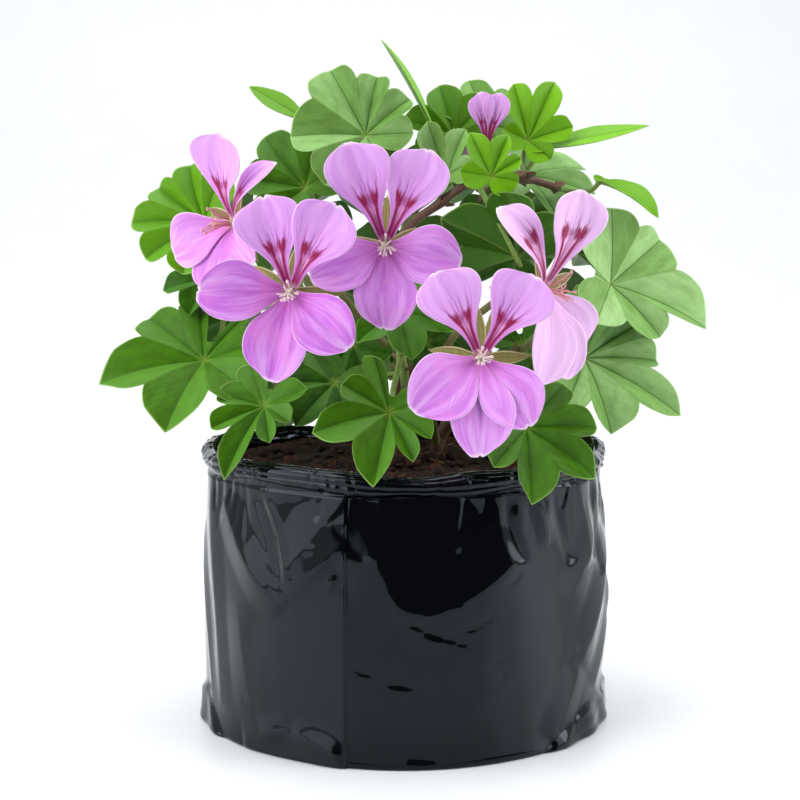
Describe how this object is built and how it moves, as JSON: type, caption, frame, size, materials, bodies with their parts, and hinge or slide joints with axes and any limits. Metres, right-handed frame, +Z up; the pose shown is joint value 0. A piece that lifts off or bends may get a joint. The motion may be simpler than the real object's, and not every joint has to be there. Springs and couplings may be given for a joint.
{
  "type": "potted ivy geranium",
  "caption": "Bushy ivy geranium with lobed ivy-like leaves and lilac blooms, growing in a black film grow bag with a rolled rim, filled with potting soil.",
  "frame": {"origin": "centre of the bag's flat base", "axes": "+Z up, -Y towards the side that shows the blooms, +X to the right of someone who looks at that side"},
  "size_m": [0.178, 0.1542, 0.2024],
  "materials": {
    "bag_film": "glossy black film",
    "soil": "rough and crumbly",
    "foliage": "satin, slightly waxy",
    "petal": "soft satin",
    "calyx": "soft satin",
    "stamen": "soft satin"
  },
  "bodies": {
    "root": {"grow_bag": "bag_film", "soil": "soil", "stem_left": "foliage", "stem_upper_left": "foliage", "stem_top": "foliage", "stem_main": "foliage", "stem_right": "foliage", "stem_front": "foliage", "stem_back_left": "foliage", "stem_back_right": "foliage", "stem_back": "foliage", "bloom_left_petals": "petal", "bloom_left_calyx": "calyx", "bloom_left_stamens": "stamen", "bloom_lower_left_petals": "petal", "bloom_lower_left_calyx": "calyx", "bloom_lower_left_stamens": "stamen", "bloom_upper_middle_petals": "petal", "bloom_upper_middle_calyx": "calyx", "bloom_upper_middle_stamens": "stamen", "bloom_lower_right_petals": "petal", "bloom_lower_right_calyx": "calyx", "bloom_lower_right_stamens": "stamen", "bloom_right_petals": "petal", "bloom_right_calyx": "calyx", "bloom_right_stamens": "stamen", "bloom_top_petals": "petal", "bloom_top_calyx": "calyx", "bloom_top_stamens": "stamen"}
  },
  "joints": []
}
